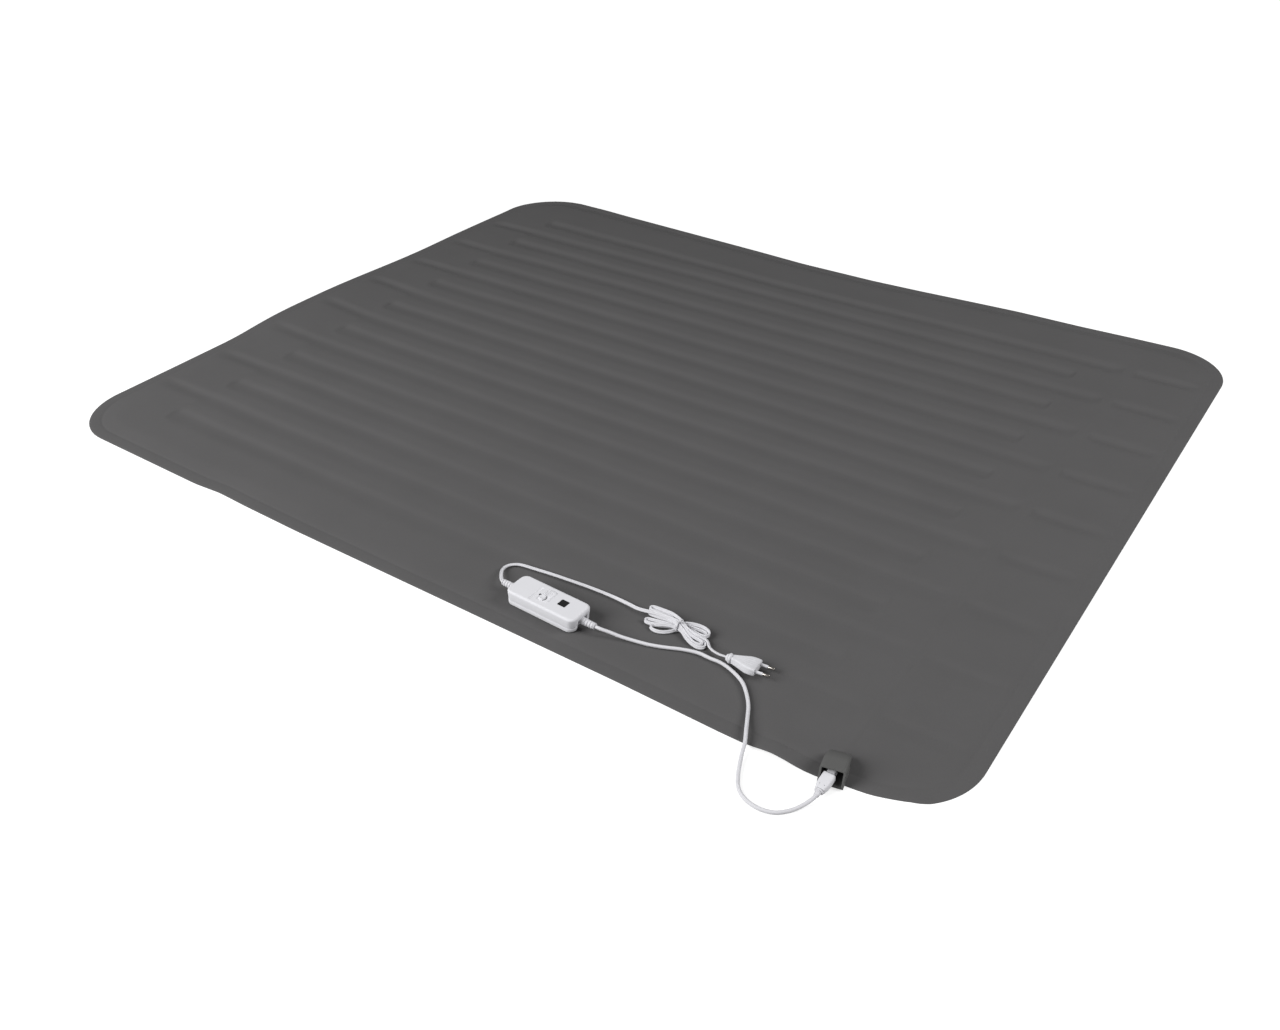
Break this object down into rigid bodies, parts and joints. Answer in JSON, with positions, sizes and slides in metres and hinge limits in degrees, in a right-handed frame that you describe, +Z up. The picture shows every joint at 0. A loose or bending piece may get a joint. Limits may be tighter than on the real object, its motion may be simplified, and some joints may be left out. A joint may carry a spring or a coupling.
{
  "type": "heated mattress pad",
  "caption": "Flat heated mattress pad of welded grey cloth with an edge socket, a plugged-in lead, an in-line slide-switch controller and a tied hank of mains flex with its plug.",
  "frame": {"origin": "middle of the pad and its socket, on the surface it lies on", "axes": "+X along the pad's long side towards the end with the socket, +Y away from the edge with the socket, +Z up"},
  "size_m": [1.6, 1.3802, 0.0283],
  "materials": {
    "cloth": "matt brushed non-woven cloth",
    "socket": "fine matt moulding",
    "shell": "satin moulding",
    "cord": "soft satin vinyl",
    "lens": "polished dark window",
    "pin": "bright nickel plate"
  },
  "bodies": {
    "pad": {"pad_cloth": "cloth", "socket_base": "socket", "socket_cover": "socket", "connector_body": "shell", "connector_relief": "cord", "lead_cord": "cord", "controller_lower": "shell", "controller_upper": "shell", "controller_window": "lens", "controller_relief_lead": "cord", "controller_relief_mains": "cord", "mains_cord_a": "cord", "mains_hank": "cord", "hank_tie": "cord", "mains_cord_b": "cord", "plug_body": "shell", "plug_collar": "shell", "plug_sleeve_far": "shell", "plug_sleeve_near": "shell", "plug_pin_far": "pin", "plug_pin_near": "pin"},
    "slider": {"switch_knob": "shell"}
  },
  "joints": [
    {"name": "switch_slide", "type": "slide", "parent": "pad", "child": "slider", "axis": [0.9994, -0.0349, 0], "range_m": [-0.0074, 0.0037]}
  ]
}
